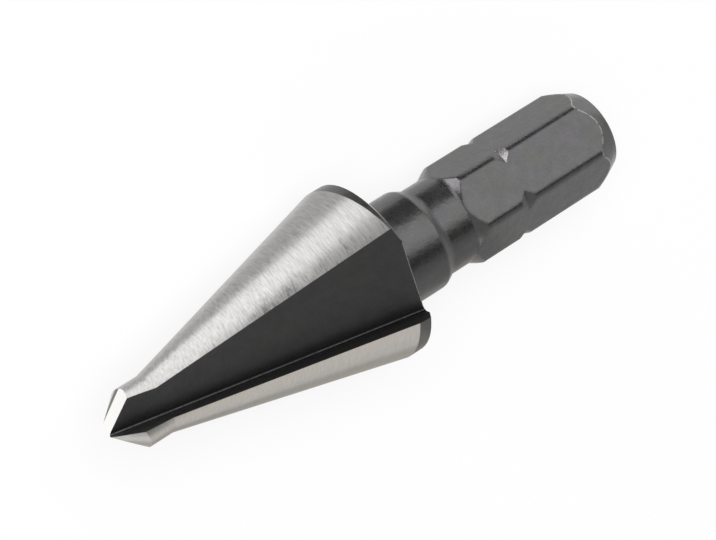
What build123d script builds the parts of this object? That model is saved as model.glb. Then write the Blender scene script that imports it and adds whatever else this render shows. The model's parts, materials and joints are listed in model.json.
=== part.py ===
from build123d import *
import math
import os

# Countersink bit: a one-piece high-speed-steel cone cutter, 4 to 12 mm, with two
# flutes, on a 1/4 inch hexagon bit shank. Millimetres and degrees throughout.
#
# It is modelled along its own axis: +X runs from the point to the shank end and
# X = 0 is the rear edge of the cutting head's rim. -Y is the side the first flute
# opens to and +Z the side its rake face looks at; the second flute, the second land
# and the second lip are the first ones turned half round. At the end the bit is laid
# down as it comes to rest on a table: on the two corners that the second flute leaves
# on the rim, and on the back end of one shank corner.

# ---- cutting head ----------------------------------------------------------
RIM_D = 12.0                # largest diameter, the unground band at the back
HEAD_LENGTH = 20.52         # chisel edge to the rear edge of the rim
CONE_ANGLE = 28.0           # included angle of the ground cone
NOSE_D = 3.66               # short parallel nose, about the centre of its own land
LAND_MARGIN = 0.03          # the cone would be this much outside the rim at X = 0
LAND_OFFSET = 0.21          # centre of each land off the axis: radial relief
LAND_LEAD = 45.0            # direction of that offset, round from -Y toward -Z
HEAD_CHAMFER_LENGTH = 0.39  # chamfer on the back of the rim, along the axis
HEAD_CHAMFER_DEPTH = 0.60   # and across it

# ---- point -----------------------------------------------------------------
POINT_LENGTH = 1.72         # chisel edge to the outer corners of the lips
LIP_ANGLE = 79.0            # included angle of the lips
LIP_RELIEF = 0.30           # centre of a lip cone off the axis, away from its land:
#                             relief behind the lip
LIP_SHIFT = 0.05            # and sideways, away from its cutting edge
SPLIT_ANGLE = 87.0          # included angle of the two facets of the chisel edge
CHISEL_TURN = 3.0           # the chisel edge is turned this far from the floors

# ---- flutes ----------------------------------------------------------------
FLOOR_RIM = 4.38            # floor of a flute: distance from the axis at the rim
FLOOR_TIP = 0.33            # and at the chisel edge
RAKE_RIM = 1.99             # rake face: distance below the centre line at the rim;
#                             it reaches the centre line at the chisel edge
FLUTE_FILLET = 0.30         # radius along the bottom corner

# ---- necks -----------------------------------------------------------------
NECK1_D = 7.02
NECK1_LENGTH = 3.31
STEP_LENGTH = 0.82          # slope between the two necks
NECK2_D = 6.18
NECK2_LENGTH = 1.80
HEAD_ROOT_FILLET = 0.20
STEP_FILLET = 0.60
STEP_ROOT_FILLET = 0.20

# ---- shank -----------------------------------------------------------------
HEX_AF = 6.35               # 1/4 inch across flats
CORNER_D = 7.10             # bar diameter, which rounds the six corners
SHANK_LENGTH = 12.41        # both chamfers included
FRONT_CHAMFER_ANGLE = 30.0
REAR_CHAMFER_ANGLE = 25.0
REAR_CHAMFER_LENGTH = 1.73
END_BREAK_LENGTH = 0.13     # steeper break between the rear chamfer and the end
END_BREAK_DEPTH = 0.20
NOTCH_TO_END = 8.13         # middle of the detent notch to the shank end
NOTCH_WIDTH = 1.05
NOTCH_DEPTH = 0.21          # turned into the corners only

# ---- making ----------------------------------------------------------------
STOCK = 0.40                # left on the turned blank for the grinding wheels
RUNOUT = 4.0                # how far each cutter reaches past the metal

# ---- radii and slopes ------------------------------------------------------
rim_r = RIM_D / 2
land_r = rim_r + LAND_MARGIN
nose_r = NOSE_D / 2
neck1_r = NECK1_D / 2
neck2_r = NECK2_D / 2
flat_r = HEX_AF / 2
corner_r = CORNER_D / 2
cone_rise = math.tan(math.radians(CONE_ANGLE / 2))
lip_rise = math.tan(math.radians(LIP_ANGLE / 2))
split_run = 1 / math.tan(math.radians(SPLIT_ANGLE / 2))
front_rise = math.tan(math.radians(FRONT_CHAMFER_ANGLE))
rear_rise = math.tan(math.radians(REAR_CHAMFER_ANGLE))
floor_taper = (FLOOR_RIM - FLOOR_TIP) / HEAD_LENGTH
rake_taper = RAKE_RIM / HEAD_LENGTH

# ---- stations along the axis -----------------------------------------------
tip_x = -HEAD_LENGTH
lip_corner_x = tip_x + POINT_LENGTH
lip_apex_x = lip_corner_x - math.hypot(nose_r + LAND_OFFSET + LIP_SHIFT, LIP_RELIEF) / lip_rise
nose_end_x = (nose_r - land_r) / cone_rise
head_back_x = HEAD_CHAMFER_LENGTH
step_x = head_back_x + NECK1_LENGTH
step_root_x = step_x + STEP_LENGTH
hex_x = step_root_x + NECK2_LENGTH
end_x = hex_x + SHANK_LENGTH
rear_chamfer_x = end_x - REAR_CHAMFER_LENGTH
end_break_x = end_x - END_BREAK_LENGTH
notch_x = end_x - NOTCH_TO_END
blank_front_x = tip_x - RUNOUT
cutter_front_x = blank_front_x - RUNOUT

# Section plane square to the axis: sketch x is Y and sketch y is Z.
section = Plane(origin=(0, 0, 0), x_dir=(0, 1, 0), z_dir=(1, 0, 0))


# Wheel for one land: nose and cone are ground together about a centre set a little off
# the axis, so that the land falls away behind its cutting edge.
lead = math.radians(LAND_LEAD)
land_centre = (0, -LAND_OFFSET * math.cos(lead), -LAND_OFFSET * math.sin(lead))
land_profile = [
    (cutter_front_x, nose_r),
    (nose_end_x, nose_r),
    (RUNOUT, land_r + RUNOUT * cone_rise),
    (RUNOUT, RIM_D),
    (cutter_front_x, RIM_D),
]
with BuildPart() as land_wheel:
    with BuildSketch(Plane(origin=land_centre)):
        with BuildLine():
            Polyline(*land_profile, close=True)
        make_face()
    revolve(axis=Axis(land_centre, (1, 0, 0)))
    split(bisect_by=Plane.XY, keep=Keep.BOTTOM)

# Cutter for one flute: a wide floor and a rake face square to it, both closing in
# toward the point, with a small radius in the corner.
flute_run = RUNOUT - cutter_front_x
flute_way = Vector(1, -floor_taper, -rake_taper)
flute_corner = (
    -(FLOOR_RIM + floor_taper * cutter_front_x),
    -(RAKE_RIM + rake_taper * cutter_front_x),
)
with BuildPart() as flute_cutter:
    with BuildSketch(section.offset(cutter_front_x)):
        with Locations(flute_corner):
            Rectangle(RIM_D + RUNOUT, RIM_D + RUNOUT, align=(Align.MAX, Align.MIN))
    extrude(amount=flute_run * flute_way.length, dir=flute_way)
    lengthways = flute_cutter.edges().filter_by(lambda e: abs((e @ 0).X - (e @ 1).X) > RUNOUT)
    fillet(lengthways.sort_by(lambda e: (e @ 0.5).Z - (e @ 0.5).Y)[0], FLUTE_FILLET)

# Wheel for one lip: a cone, lifted for the relief behind the lip.
lip_reach = nose_r + RUNOUT
lip_profile = [
    (lip_apex_x, 0),
    (lip_apex_x + lip_reach / lip_rise, lip_reach),
    (cutter_front_x, lip_reach),
    (cutter_front_x, 0),
]
with BuildPart() as lip_wheel:
    with BuildSketch(Plane(origin=(0, LIP_SHIFT, LIP_RELIEF))):
        with BuildLine():
            Polyline(*lip_profile, close=True)
        make_face()
    revolve(axis=Axis((0, LIP_SHIFT, LIP_RELIEF), (1, 0, 0)))
    split(bisect_by=Plane.XY, keep=Keep.BOTTOM)

# Cutter for the two facets that meet in the chisel edge.
wing_x = tip_x + lip_reach * split_run
facet_profile = [
    (tip_x, 0),
    (wing_x, lip_reach),
    (cutter_front_x, lip_reach),
    (cutter_front_x, -lip_reach),
    (wing_x, -lip_reach),
]
with BuildPart() as facet_cutter:
    with BuildSketch(Plane.XZ):
        with BuildLine():
            Polyline(*facet_profile, close=True)
        make_face()
    extrude(amount=lip_reach, both=True)

# Turned blank: rim, necks and shank at size, the cone with stock left for grinding.
blank_nose_r = nose_r + LAND_OFFSET + STOCK
end_break_r = corner_r - (end_break_x - rear_chamfer_x) * rear_rise
blank_profile = [
    (blank_front_x, 0),
    (blank_front_x, blank_nose_r),
    ((blank_nose_r - land_r - STOCK) / cone_rise, blank_nose_r),
    ((rim_r - land_r - STOCK) / cone_rise, rim_r),
    (0, rim_r),
    (head_back_x, rim_r - HEAD_CHAMFER_DEPTH),
    (head_back_x, neck1_r),
    (step_x, neck1_r),
    (step_root_x, neck2_r),
    (hex_x, neck2_r),
    (hex_x + (corner_r - neck2_r) / front_rise, corner_r),
    (notch_x - NOTCH_WIDTH / 2, corner_r),
    (notch_x, corner_r - NOTCH_DEPTH),
    (notch_x + NOTCH_WIDTH / 2, corner_r),
    (rear_chamfer_x, corner_r),
    (end_break_x, end_break_r),
    (end_x, end_break_r - END_BREAK_DEPTH),
    (end_x, 0),
]
turned_fillets = [
    ((head_back_x, neck1_r, 0), HEAD_ROOT_FILLET),
    ((step_x, neck1_r, 0), STEP_FILLET),
    ((step_root_x, neck2_r, 0), STEP_ROOT_FILLET),
]

with BuildPart() as bit:
    with BuildSketch(Plane.XY) as turned:
        with BuildLine():
            Polyline(*blank_profile, close=True)
        make_face()
        for corner, radius in turned_fillets:
            fillet(turned.vertices().sort_by_distance(corner)[0], radius)
    revolve(axis=Axis.X)

    # Ground lands, flutes, lips and the chisel edge.
    for side in (0, 180):
        add(land_wheel.part, rotation=(side, 0, 0), mode=Mode.SUBTRACT)
    for side in (0, 180):
        add(flute_cutter.part, rotation=(side, 0, 0), mode=Mode.SUBTRACT)
    for side in (0, 180):
        add(lip_wheel.part, rotation=(side, 0, 0), mode=Mode.SUBTRACT)
    add(facet_cutter.part, rotation=(-CHISEL_TURN, 0, 0), mode=Mode.SUBTRACT)

    # Six flats of the shank, one of them facing -Z.
    with BuildSketch(section.offset(hex_x)):
        Circle(corner_r + RUNOUT)
        RegularPolygon(flat_r, 6, major_radius=False, mode=Mode.SUBTRACT)
    extrude(amount=SHANK_LENGTH + RUNOUT, mode=Mode.SUBTRACT)

# Lying down: the table touches the rim at the cutting edge and at the heel beside the
# second flute, and the shank where the arc of one corner ends at the rear chamfer.
edge_foot = Vector(0, math.sqrt(rim_r**2 - RAKE_RIM**2), RAKE_RIM)
heel_foot = Vector(0, FLOOR_RIM, -math.sqrt(rim_r**2 - FLOOR_RIM**2))
arc_half = math.pi / 6 - math.acos(flat_r / corner_r)
shank_foot = Vector(rear_chamfer_x, corner_r * math.cos(arc_half), -corner_r * math.sin(arc_half))
up = (heel_foot - edge_foot).cross(shank_foot - edge_foot)
table = Plane(origin=edge_foot, x_dir=(1, 0, 0), z_dir=up)
laid = table.location.inverse() * bit.part

# The origin is the middle of the footprint, on the table.
box = laid.bounding_box()
with BuildPart() as countersink_bit:
    add(Pos(-box.center().X, -box.center().Y, -box.min.Z) * laid)

os.makedirs("parts", exist_ok=True)
countersink_bit.part.label = "countersink_bit"
export_step(countersink_bit.part, "parts/countersink_bit.step")
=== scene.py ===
"""Countersink bit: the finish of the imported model, a plain white studio and the camera."""
import json
import math

import bpy
from mathutils import Matrix, Vector

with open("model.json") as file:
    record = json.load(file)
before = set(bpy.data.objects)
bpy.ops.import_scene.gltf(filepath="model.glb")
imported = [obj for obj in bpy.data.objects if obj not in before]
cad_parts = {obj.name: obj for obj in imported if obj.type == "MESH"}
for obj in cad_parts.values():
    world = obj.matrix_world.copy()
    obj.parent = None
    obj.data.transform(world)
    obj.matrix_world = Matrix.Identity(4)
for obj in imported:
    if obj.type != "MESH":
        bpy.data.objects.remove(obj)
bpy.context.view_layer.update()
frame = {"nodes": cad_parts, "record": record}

MM = 0.001
NODE = "countersink_bit"

# ---- the bit's own frame -------------------------------------------------------
# X runs along the bit from the point to the shank end, with X = 0 at the rear edge of
# the rim; -Y is the side that the upper flute opens to, and Z completes it. In mm.
RIM_TO_SHANK_END = 18.73
FLUTE_ROLL = math.radians(11.87)    # the upper flute's floor faces this far off straight up


def bit_frame():
    """The matrix from the bit's frame to the row's, both in metres."""
    mounts = {mount["name"]: mount for mount in frame["record"]["mounts"]}
    end = mounts["shank_end"]
    axis = Vector(end["axis"]).normalized()
    side = Vector((0, 1, 0))
    over = axis.cross(side)
    y = math.sin(FLUTE_ROLL) * side - math.cos(FLUTE_ROLL) * over
    matrix = Matrix((axis, y, axis.cross(y))).transposed().to_4x4()
    matrix.translation = Vector(end["pos_m"]) - axis * RIM_TO_SHANK_END * MM
    return matrix


BIT = bit_frame()
FROM_ROW = BIT.inverted()

# ---- colours -------------------------------------------------------------------
GROUND = (0.385, 0.379, 0.371)      # the upper land
LOWER_LAND = (0.435, 0.421, 0.402)
FACET_PAINTED_HIGHLIGHT = (0.98, 0.97, 0.95)          # the point's two facets: steel painted near white, a painted highlight
SLIVER_PAINTED_SHADE = (0.20, 0.198, 0.19)        # the strip beside the chisel edge, ground again; its darkness is painted shade
LIP = (0.53, 0.52, 0.50)
OXIDE = (0.18, 0.179, 0.182)        # the necks and the shank
RIM = (0.13, 0.13, 0.127)
FLUTE = (0.113, 0.113, 0.115)
RAKE = (0.13, 0.128, 0.125)
CORNER_PAINTED_SHADE = (0.02, 0.02, 0.02)         # the flute's rounded corner: near black, a painted shade
WORN_AND_HIGHLIT = (0.72, 0.71, 0.69)           # steel where the oxide is rubbed off; as light as this, partly a painted highlight
PURPLE = (1.02, 0.985, 1.015)       # the two casts that the oxide drifts between
OLIVE = (1.01, 1.005, 0.965)
WHITE = (1.0, 1.0, 1.0)
WARM = (1.0, 0.965, 0.905)          # the light from in front of the bit

# ---- patterns: lengths in mm, and angles round the bit from -Y, negative above it ---
RING_SLANT = 0.5                    # a grinding ring moves this far along the bit per radian
RINGS = 12.0                        # the rings' noise is scaled by this along the bit
FINE_TURN = 5.0                     # and round it by this for the fine rings
WIDE_TURN = 8.0                     # and by this for the wide ones
FINE_SHARE = 0.8                    # the fine rings' share in the tint
RING_DEPTH = 0.01
HEEL_ANGLE = (math.radians(-68), math.radians(-44))     # the scratches set in over these
HEEL_X = (-18.0, -8.0)              # and grow toward the rim over these
HEEL_TURN = 1.1                     # their noise is scaled round the bit by this
HEEL_BROAD_SHARE = 0.6
HEEL_DARKNESS = 0.6
SLIVER_X = -18.54                   # the strip's border passes here
SLIVER_Y = 0.56
SLIVER_SLOPE = 0.128                # and falls by this per mm toward the shank
SLIVER_SOFTNESS = 0.03
FRONT_FILLET = (3.85, 4.6)          # the second neck's shading blends in over these X
BACK_FILLET = (6.65, 6.25)          # and out again
RAKE_SLOPE = 0.1                    # the rake face climbs by this per mm toward the point
RAKE_BELOW = 2.08                   # and is this far below the axis at the rim
CORNER_SHADE = (0.20, 0.95)         # the painted shade at the floor's foot fades out at these heights over it
CORNER_DARKEST = 0.35
EDGE = 0.06                         # radius of the softened edges
WEAR_AND_HIGHLIGHT_LEAN = (0.12, 0.16)            # an edge is rubbed bright, partly a painted highlight, where it leans back by this
WEAR_AND_HIGHLIGHT_SOFTNESS = 0.3
ROUGHNESS_DRIFT = 0.04
GRAIN_DEPTH = 0.01
CLOUD_DEPTH = 0.1
LINE_TURN = 0.7                     # the corner's painted highlight line is where it faces Z this nearly
LINE_HALF = 0.11
CORNER_ROUGHNESS = 0.4

# ---- shader building -------------------------------------------------------------
MIX_SHARE = 0                       # the Mix node's colour sockets
MIX_FIRST = 6
MIX_SECOND = 7
MIX_RESULT = 2
DOT = 1                             # the Vector Math node's plain number output


class Shader:
    """A material's or the world's node tree, built from short calls."""

    def __init__(self, owner):
        owner.use_nodes = True
        self.tree = owner.node_tree
        self.tree.nodes.clear()

    def node(self, kind, settings=None, **inputs):
        made = self.tree.nodes.new(kind)
        for name, value in (settings or {}).items():
            setattr(made, name, value)
        for name, value in inputs.items():
            self.feed(made, name.replace("_", " "), value)
        return made

    def feed(self, made, key, value):
        """Links a node's input, named or numbered by key, or sets it to a plain value."""
        socket = made.inputs[key]
        if isinstance(value, bpy.types.NodeSocket):
            self.tree.links.new(value, socket)
        else:
            socket.default_value = value

    def feed_all(self, made, values):
        """Feeds a node's first inputs in turn."""
        for index, value in enumerate(values):
            self.feed(made, index, value)

    def math(self, operation, *values):
        made = self.node("ShaderNodeMath", {"operation": operation})
        self.feed_all(made, values)
        return made.outputs[0]

    def product(self, *values):
        total = values[0]
        for value in values[1:]:
            total = self.math("MULTIPLY", total, value)
        return total

    def vector(self, operation, *values):
        made = self.node("ShaderNodeVectorMath", {"operation": operation})
        self.feed_all(made, values)
        return made.outputs[0]

    def dot(self, first, second):
        made = self.node("ShaderNodeVectorMath", {"operation": "DOT_PRODUCT"})
        self.feed_all(made, (first, second))
        return made.outputs[DOT]

    def scaled(self, vector, factor):
        made = self.node("ShaderNodeVectorMath", {"operation": "SCALE"}, Scale=factor)
        self.feed_all(made, (vector,))
        return made.outputs[0]

    def range(self, value, low, high, to_low=0.0, to_high=1.0, smooth=False):
        made = self.node("ShaderNodeMapRange")
        if smooth:
            made.interpolation_type = "SMOOTHSTEP"
        self.feed_all(made, (value, low, high, to_low, to_high))
        return made.outputs[0]

    def mix(self, share, first, second):
        made = self.node("ShaderNodeMix", {"data_type": "RGBA"})
        self.feed(made, MIX_SHARE, share)
        self.feed(made, MIX_FIRST, first)
        self.feed(made, MIX_SECOND, second)
        return made.outputs[MIX_RESULT]

    def combine(self, x, y, z):
        return self.node("ShaderNodeCombineXYZ", X=x, Y=y, Z=z).outputs[0]

    def noise(self, vector, scale, detail=2.0, roughness=0.5):
        made = self.node("ShaderNodeTexNoise", Vector=vector, Scale=scale)
        self.feed(made, "Detail", detail)
        self.feed(made, "Roughness", roughness)
        return made.outputs[0]

    def bump(self, height, strength, depth, normal=None):
        made = self.node("ShaderNodeBump", Height=height, Strength=strength, Distance=depth * MM)
        if normal is not None:
            self.feed(made, "Normal", normal)
        return made.outputs[0]

    def glow(self, colour, strength):
        made = self.node("ShaderNodeEmission", Color=rgba(colour), Strength=strength)
        return made.outputs[0]


class Metal(Shader):
    """A Principled metal on the bit, with the places on the bit that its patterns follow."""

    def __init__(self, name):
        self.material = bpy.data.materials.new(name)
        super().__init__(self.material)
        to_bit = self.node("ShaderNodeMapping", {"vector_type": "POINT"})
        self.feed(to_bit, "Vector", self.node("ShaderNodeTexCoord").outputs["Object"])
        self.feed(to_bit, "Scale", (1 / MM, 1 / MM, 1 / MM))
        self.feed(to_bit, "Rotation", FROM_ROW.to_euler("XYZ"))
        self.feed(to_bit, "Location", FROM_ROW.translation / MM)
        self.place = to_bit.outputs[0]
        parts = self.node("ShaderNodeSeparateXYZ", Vector=self.place)
        self.x, self.y, self.z = parts.outputs
        down = self.math("MULTIPLY", self.z, -1.0)
        out = self.math("MULTIPLY", self.y, -1.0)
        self.angle = self.math("ARCTAN2", down, out)
        self.axis = self.combine(*BIT.col[0].xyz)

    def around(self, along, turn, layer):
        """A place for noise that runs along the bit and round it; each layer differs."""
        return self.combine(along, self.math("MULTIPLY", self.angle, turn), layer)

    def finish(self, colour, roughness, normal, **extra):
        shader = self.node("ShaderNodeBsdfPrincipled", Base_Color=colour, Metallic=1.0, **extra)
        self.feed(shader, "Roughness", roughness)
        self.feed(shader, "Normal", normal)
        self.node("ShaderNodeOutputMaterial", Surface=shader.outputs[0])
        return self.material


def rgba(colour, scale=1.0):
    """A colour with its alpha, made darker or lighter by a scale."""
    return (*(channel * scale for channel in colour), 1)


def with_cast(colour, cast):
    """A colour with its alpha and a faint cast."""
    return (*(channel * share for channel, share in zip(colour, cast)), 1)


# ---- finishes --------------------------------------------------------------------
def ground_steel(name, colour, depth, painted_sliver_shade=None, heel=0.0):
    """Bright high-speed steel with the fine rings that a grinding wheel leaves."""
    metal = Metal(name)
    ring = metal.math("MULTIPLY_ADD", metal.angle, RING_SLANT, metal.x)
    across = metal.math("MULTIPLY", ring, RINGS)
    fine_place = metal.around(across, FINE_TURN, layer=0.0)
    fine = metal.noise(fine_place, scale=1.0, detail=3.0, roughness=0.75)
    wide = metal.noise(metal.around(across, WIDE_TURN, layer=7.0), scale=0.3)
    fine_part = metal.math("MULTIPLY", fine, FINE_SHARE)
    rings = metal.math("MULTIPLY_ADD", wide, 1 - FINE_SHARE, fine_part)
    share = metal.range(rings, low=0.32, high=0.68)
    tint = metal.mix(share, rgba(colour, 1 - depth), rgba(colour, 1 + depth))
    if heel:
        scratched = heel_scratches(metal, ring, heel)
        tint = metal.mix(scratched, tint, rgba(colour, 1 - HEEL_DARKNESS))
    # Painted shade on the strip beside the chisel edge.
    if painted_sliver_shade is not None:
        tint = metal.mix(on_painted_sliver(metal), tint, rgba(painted_sliver_shade))
    rough = metal.range(fine, low=0.3, high=0.7, to_low=0.28, to_high=0.40)
    normal = metal.bump(fine, strength=0.35, depth=RING_DEPTH)
    return metal.finish(tint, rough, normal, Anisotropic=0.65, Tangent=metal.axis)


def heel_scratches(metal, ring, strength):
    """The dark scratches near the land's heel: strength in the deepest, 0 elsewhere."""
    near_heel = metal.range(metal.angle, *HEEL_ANGLE, to_high=strength)
    near_rim = metal.range(metal.x, *HEEL_X, to_low=0.5)
    place = metal.around(ring, HEEL_TURN, layer=3.0)
    broad = metal.noise(place, scale=1.6)
    narrow = metal.noise(place, scale=7.5, detail=3.0, roughness=0.7)
    cut = metal.math("MULTIPLY_ADD", broad, HEEL_BROAD_SHARE, narrow)
    return metal.product(near_heel, near_rim, metal.range(cut, low=0.81, high=0.98))


def on_painted_sliver(metal):
    """Where the point's facet is ground again, beside the chisel edge, and painted darker as shade:
    1 there, 0 elsewhere.
    """
    side = metal.math("MULTIPLY", metal.y, metal.math("SIGN", metal.z))
    border_at_rim = SLIVER_Y + SLIVER_X * SLIVER_SLOPE
    border = metal.math("MULTIPLY_ADD", metal.x, -SLIVER_SLOPE, border_at_rim)
    over = metal.math("SUBTRACT", side, border)
    return metal.range(over, -SLIVER_SOFTNESS, SLIVER_SOFTNESS)


def black_oxide(name, colour, roughness, edge=EDGE, wear_and_highlight_x=None, painted_foot_shade=False, fillets=False):
    """Oxidised steel: near black, faintly mottled, and bright at the edges that lean back behind a
    given X: rubbed steel, and a painted highlight too.
    """
    metal = Metal(name)
    cloud = metal.noise(metal.place, scale=1.3, detail=4.0, roughness=0.65)
    grain = metal.noise(metal.place, scale=9.0)
    drift = metal.range(metal.noise(metal.place, scale=0.5), low=0.4, high=0.6)
    tint = metal.mix(drift, with_cast(colour, PURPLE), with_cast(colour, OLIVE))
    shade = metal.range(cloud, low=0.35, high=0.65, to_low=0.92, to_high=1.08)
    if painted_foot_shade:
        shade = metal.math("MULTIPLY", shade, foot_shade(metal))
    specks = metal.range(grain, low=0.35, high=0.65, to_high=0.5)
    tint = metal.mix(specks, metal.scaled(tint, shade), rgba(colour, 0.9))
    soft = metal.node("ShaderNodeBevel", {"samples": 8}, Radius=edge * MM).outputs[0]
    if fillets:
        soft = hollow_fillets(metal, soft)
    # Edges rubbed bright, and a painted highlight with them.
    if wear_and_highlight_x is not None:
        tint = metal.mix(worn_and_highlit_edge(metal, soft, wear_and_highlight_x), tint, rgba(WORN_AND_HIGHLIT))
    smoothest = roughness - ROUGHNESS_DRIFT
    roughest = roughness + ROUGHNESS_DRIFT
    rough = metal.range(grain, low=0.3, high=0.7, to_low=smoothest, to_high=roughest)
    normal = metal.bump(cloud, strength=0.3, depth=CLOUD_DEPTH, normal=soft)
    normal = metal.bump(grain, strength=0.1, depth=GRAIN_DEPTH, normal=normal)
    return metal.finish(tint, rough, normal)


def foot_shade(metal):
    """A painted shade on the flute's floor, darker toward its foot on the rake face."""
    above = metal.math("ADD", metal.z, RAKE_BELOW)
    over_rake = metal.math("MULTIPLY_ADD", metal.x, RAKE_SLOPE, above)
    return metal.range(over_rake, *CORNER_SHADE, to_low=CORNER_DARKEST)


def hollow_fillets(metal, normal):
    """Blends both slopes beside the second neck into it, as hollow fillets would."""
    lean = metal.dot(normal, metal.axis)
    from_front = metal.range(metal.x, *FRONT_FILLET)
    from_back = metal.range(metal.x, *BACK_FILLET)
    level = metal.scaled(metal.axis, metal.product(lean, from_front, from_back))
    return metal.vector("NORMALIZE", metal.vector("SUBTRACT", normal, level))


def worn_and_highlit_edge(metal, normal, wear_and_highlight_x):
    """The edges behind a given X that lean back to the shank end, rubbed bright and partly a painted
    highlight: 1 there, 0 elsewhere.
    """
    leaning = metal.range(metal.dot(normal, metal.axis), *WEAR_AND_HIGHLIGHT_LEAN)
    behind = metal.range(metal.x, wear_and_highlight_x, wear_and_highlight_x + WEAR_AND_HIGHLIGHT_SOFTNESS)
    patchy = metal.range(metal.noise(metal.place, scale=2.5), low=0.34, high=0.44)
    return metal.product(leaning, behind, patchy)


def flute_corner_painted_shade_and_highlight(name, colour):
    """The rounded corner of the flute: painted shade, with one fine painted highlight line along it.
    """
    metal = Metal(name)
    facing = metal.node("ShaderNodeNewGeometry").outputs["Normal"]
    turn = metal.dot(facing, tuple(BIT.col[2].xyz))
    off_line = metal.math("ABSOLUTE", metal.math("SUBTRACT", turn, LINE_TURN))
    on_painted_highlight = metal.range(off_line, 0.0, LINE_HALF, to_low=1.0, to_high=0.0)
    grain = metal.noise(metal.place, scale=6.0)
    patchy = metal.range(grain, low=0.3, high=0.6, to_low=0.3, to_high=0.7)
    tint = metal.mix(metal.product(on_painted_highlight, patchy), rgba(colour), rgba(OXIDE))
    normal = metal.bump(grain, strength=0.1, depth=GRAIN_DEPTH)
    return metal.finish(tint, CORNER_ROUGHNESS, normal)


FINISHES = {
    "shank": black_oxide("shank_oxide", OXIDE, roughness=0.30, edge=0.12, fillets=True),
    # edges near the shank end rubbed bright, partly a painted highlight
    "hexagon": black_oxide("hex_oxide", OXIDE, roughness=0.25, edge=0.38, wear_and_highlight_x=15.9),
    "rim": black_oxide("rim_oxide", RIM, roughness=0.34),
    # rubbed steel on the rim's back chamfer and a notch, partly a painted highlight
    "worn_and_highlit": black_oxide("worn_and_highlit_back_edge", WORN_AND_HIGHLIT, roughness=0.30),
    "upper land": ground_steel("ground_land", GROUND, depth=0.30, heel=0.9),
    "lower land": ground_steel("lower_land", LOWER_LAND, depth=0.14),
    # the point's facets: a painted highlight, and painted shade on the strip by the chisel edge
    "facet": ground_steel("ground_facet_painted_highlight", FACET_PAINTED_HIGHLIGHT, depth=0.02, painted_sliver_shade=SLIVER_PAINTED_SHADE),
    "lip": ground_steel("ground_lip", LIP, depth=0.05),
    # the flute's floor: painted shade at its foot, and edges behind X = 0 rubbed bright, partly a
    # painted highlight
    "floor": black_oxide("flute_floor", FLUTE, roughness=0.42, edge=0.1, wear_and_highlight_x=0.0, painted_foot_shade=True),
    "rake": black_oxide("flute_rake", RAKE, roughness=0.38),
    # the flute's corner: painted shade, with a painted highlight line
    "corner": flute_corner_painted_shade_and_highlight("flute_corner_painted_shade_and_highlight", CORNER_PAINTED_SHADE),
}
SLOTS = {surface: slot for slot, surface in enumerate(FINISHES)}

# ---- the bit's surfaces, told apart by these sizes in mm ---------------------------
RIM_R = 6.0
BACK_CHAMFER = 0.6                  # the rim's back chamfer reaches this far in
HEAD_BACK_X = 0.39                  # and this far back
LAND_R = 6.03                       # a land's radius at X = 0, about its own centre
LAND_OFFSET = 0.21                  # which is this far off the axis
LAND_LEAD = math.radians(45)        # toward here for the upper land, and the other way for the lower
CONE_RISE = math.tan(math.radians(14))
NOSE_R = 1.83
POINT_X = -17.5                     # what faces forward ahead of this is the point
HEX_X = 6.6                         # the hexagon starts behind this
NOTCH_X = 9.0                       # its notches start behind this
NOTCH_Z = 2.0                       # and the one rubbed bright, partly a painted highlight, is above this
ON_SURFACE = 0.03                   # a facet this near a surface belongs to it
FACES_ALONG = 0.3                   # a normal that leans this far along X faces back or forward
FACES_OUT = 0.9
LIP_FACING = 0.3                    # a lip's flank leans this far sideways, its facet less
FLAT_FACING = 0.97                  # the flute's floor faces Y this nearly, its rake face Z


def surface_of(place, facing):
    """Which surface a facet belongs to, from where it is on the bit and the way it faces."""
    x, y, z = place
    from_axis = math.hypot(y, z)
    faces_back = facing.x > FACES_ALONG
    faces_forward = facing.x < -FACES_ALONG
    level = abs(facing.x) < ON_SURFACE
    # The rim's back chamfer and the upper notch's forward facets: rubbed steel, partly a painted
    # highlight.
    if 0 < x < HEAD_BACK_X and faces_back and from_axis > RIM_R - BACK_CHAMFER:
        return "worn_and_highlit"
    if x > HEX_X and level:
        return "hexagon"
    if x > NOTCH_X and faces_forward and z > NOTCH_Z and y < 0:
        return "worn_and_highlit"
    if x > HEAD_BACK_X - ON_SURFACE or faces_back:
        return "shank"
    if from_axis > RIM_R - ON_SURFACE and level:
        return "rim"
    half = -1 if z < 0 else 1
    centre = half * LAND_OFFSET * Vector((0, math.cos(LAND_LEAD), math.sin(LAND_LEAD)))
    out = Vector((0, y, z)) - centre
    land_r = max(NOSE_R, LAND_R + x * CONE_RISE)
    if abs(out.length - land_r) < ON_SURFACE and facing.dot(out.normalized()) > FACES_OUT:
        return "upper land" if z > 0 else "lower land"
    if x < POINT_X and faces_forward:
        return "lip" if abs(facing.y) > LIP_FACING else "facet"
    if abs(facing.y) > FLAT_FACING:
        return "floor"
    if abs(facing.z) > FLAT_FACING:
        return "rake"
    return "corner"


bit = frame["nodes"][NODE]
bit.data.materials.clear()
for finish in FINISHES.values():
    bit.data.materials.append(finish)
for facet in bit.data.polygons:
    place = FROM_ROW @ facet.center / MM
    facing = FROM_ROW.to_3x3() @ facet.normal
    facet.material_index = SLOTS[surface_of(place, facing)]

# ---- floor --------------------------------------------------------------------------
FLOOR_HALF = 10.0
FLOOR_COLOUR = (0.86, 0.86, 0.86)
WHITE_SHARE = 0.82                  # how much of the floor is plain white to the eye


def sheet(name, corners, material):
    """A flat piece of the studio, which is no part of the bit."""
    mesh = bpy.data.meshes.new(name)
    mesh.from_pydata(corners, [], [(0, 1, 2, 3)])
    mesh.materials.append(material)
    made = bpy.data.objects.new(name, mesh)
    bpy.context.scene.collection.objects.link(made)
    return made


def flat_corners(x_range, y_range, z):
    """The corners of a level rectangle, in order."""
    start, end = x_range
    near, far = y_range
    return [(start, near, z), (end, near, z), (end, far, z), (start, far, z)]


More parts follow.
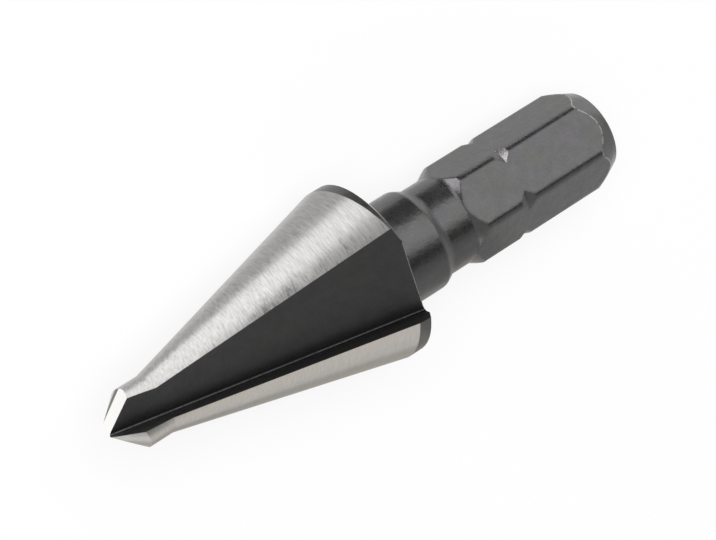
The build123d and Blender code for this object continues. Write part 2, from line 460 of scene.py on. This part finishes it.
def white_floor():
    """White paper: it keeps the bit's shadow, and the rest shows white."""
    material = bpy.data.materials.new("white_floor")
    shader = Shader(material)
    paper = shader.node("ShaderNodeBsdfDiffuse", Color=rgba(FLOOR_COLOUR))
    white = shader.glow(WHITE, strength=1.0)
    path = shader.node("ShaderNodeLightPath").outputs
    seen = shader.math("ADD", path["Is Camera Ray"], path["Is Glossy Ray"])
    seen = shader.math("ADD", seen, path["Is Transmission Ray"])
    blend = shader.node("ShaderNodeMixShader")
    shader.feed_all(blend, (shader.math("MULTIPLY", seen, WHITE_SHARE), paper.outputs[0], white))
    shader.node("ShaderNodeOutputMaterial", Surface=blend.outputs[0])
    return material


reach = (-FLOOR_HALF, FLOOR_HALF)
sheet("floor", flat_corners(reach, reach, 0), white_floor())


# ---- cards --------------------------------------------------------------------------
# They show only in the metal: the camera, the shadows and the soft light pass them by.
LOW_CARD_Z = 0.2


def direction(azimuth, elevation):
    """The unit vector that points an azimuth and an elevation away, both in degrees."""
    turn = math.radians(azimuth)
    rise = math.radians(elevation)
    across = math.cos(rise)
    return Vector((math.cos(turn) * across, math.sin(turn) * across, math.sin(rise)))


def hidden_card(name, corners, level, colour):
    """A glowing card that only the metal reflects."""
    material = bpy.data.materials.new(name)
    shader = Shader(material)
    shader.node("ShaderNodeOutputMaterial", Surface=shader.glow(colour, level))
    made = sheet(name, corners, material)
    made.visible_camera = False
    made.visible_diffuse = False
    made.visible_shadow = False


def upright_card(name, from_x, azimuth, distance, left, right, height, level, lift=0.0):
    """A card that stands facing the place from_x along the bit, all in mm.

    Its right end may be lifted off the floor.
    """
    spot = BIT @ Vector((from_x * MM, 0, 0))
    foot = Vector((spot.x, spot.y, 0)) + direction(azimuth, 0) * distance * MM
    across = direction(azimuth - 90, 0) * MM
    up = Vector((0, 0, height * MM))
    start = foot - across * left
    end = foot + across * right
    raised = end + Vector((0, 0, lift * MM))
    hidden_card(name, [start, raised, end + up, start + up], level, WHITE)


def low_card(name, x_range, y_range, level, colour=WHITE):
    """A card that lies on the floor, in mm."""
    corners = [Vector(corner) * MM for corner in flat_corners(x_range, y_range, LOW_CARD_Z)]
    hidden_card(name, corners, level, colour)


upright_card("far_dark_card", from_x=3, azimuth=64, distance=15.5,
             left=7, right=3, height=11, level=0.07)
upright_card("far_light_card", from_x=3.4, azimuth=121, distance=23,
             left=16, right=20, height=18, level=2.12, lift=3.4)
upright_card("near_hex_card", from_x=8, azimuth=-65, distance=17,
             left=32, right=0, height=15, level=0.56)
upright_card("near_neck_card", from_x=8, azimuth=-65, distance=17,
             left=0, right=9, height=15, level=0.42)
low_card("near_low_card", x_range=(-24, 20), y_range=(-26, -6.5), level=0.59, colour=WARM)
low_card("far_low_card", x_range=(-30, 3), y_range=(7.0, 40), level=0.82)
low_card("far_hex_card", x_range=(3, 30), y_range=(4.5, 24), level=0.77)

# ---- room and lamp -------------------------------------------------------------------
# The room round the bit, painted one patch on the other: azimuth, elevation, the angles
# where each soft patch is full and where it ends, and its brightness.
ROOM_BASE = 0.38
ROOM_PATCHES = {
    "key softbox": (36, 44, 20, 34, 1.0),
    "far softbox": (94, 8, 28, 48, 1.50),
    "dark corner": (126, 40, 18, 30, 0.08),
    "dark gap": (62, 11, 13, 21, 0.02),
    "dark ceiling": (-34, 54, 7, 18, 0.0),
    "near fill": (-90, 8, 16, 30, 1.15),
}
WARM_PATCH = (-92, 0, 16, 34)       # the same angles for the warm cast

world = bpy.data.worlds.new("studio")
bpy.context.scene.world = world
sky = Shader(world)
sky_way = sky.node("ShaderNodeTexCoord").outputs["Generated"]


def patch(azimuth, elevation, full, end):
    """How far a soft round patch covers the room: 1 in its middle, 0 past its end."""
    near = sky.dot(sky_way, direction(azimuth, elevation))
    low = math.cos(math.radians(end))
    high = math.cos(math.radians(full))
    return sky.range(near, low, high, smooth=True)


room = ROOM_BASE
for *angles, brightness in ROOM_PATCHES.values():
    change = sky.math("SUBTRACT", brightness, room)
    room = sky.math("ADD", room, sky.math("MULTIPLY", patch(*angles), change))
cast = sky.mix(patch(*WARM_PATCH), rgba(WHITE), rgba(WARM))
background = sky.node("ShaderNodeBackground", Color=cast, Strength=room)
sky.node("ShaderNodeOutputWorld", Surface=background.outputs[0])


def area_light(name, azimuth, elevation, distance, size, power):
    """A soft lamp that looks at the bit, in metres and watts."""
    lamp = bpy.data.lights.new(name, "AREA")
    lamp.shape = "DISK"
    lamp.size = size
    lamp.energy = power
    holder = bpy.data.objects.new(name, lamp)
    way = direction(azimuth, elevation)
    holder.location = way * distance
    holder.rotation_euler = way.to_track_quat("Z", "Y").to_euler()
    bpy.context.scene.collection.objects.link(holder)
    return holder


overhead = area_light("overhead", azimuth=130, elevation=68, distance=0.6, size=0.5, power=3.1)
overhead.visible_glossy = False

# ---- camera, in the bit's frame, mm -----------------------------------------------------
CAMERA_AT = Vector((-74.11, -139.39, 80.84))
CAMERA_SEES = Vector((-0.58, 0.39, 0.14))
AXIS_RISES = math.radians(32.21)    # the bit's axis climbs this much across the picture
FOCAL_PIXELS = 2820.7
PICTURE_WIDTH = 716
SENSOR_WIDTH = 36.0
CLIP_START = 0.01

ahead = (CAMERA_SEES - CAMERA_AT).normalized()
back = -ahead
along = Vector((1, 0, 0))
along = (along - along.dot(ahead) * ahead).normalized()
across = back.cross(along)
right = math.cos(AXIS_RISES) * along - math.sin(AXIS_RISES) * across
up = math.sin(AXIS_RISES) * along + math.cos(AXIS_RISES) * across
pose = Matrix((right, up, back)).transposed().to_4x4()
pose.translation = CAMERA_AT * MM
lens = bpy.data.cameras.new("camera")
lens.sensor_width = SENSOR_WIDTH
lens.lens = FOCAL_PIXELS / PICTURE_WIDTH * SENSOR_WIDTH
lens.clip_start = CLIP_START
camera = bpy.data.objects.new("camera", lens)
camera.matrix_world = BIT @ pose
bpy.context.scene.collection.objects.link(camera)
bpy.context.scene.camera = camera

bpy.context.scene.view_settings.view_transform = "Standard"
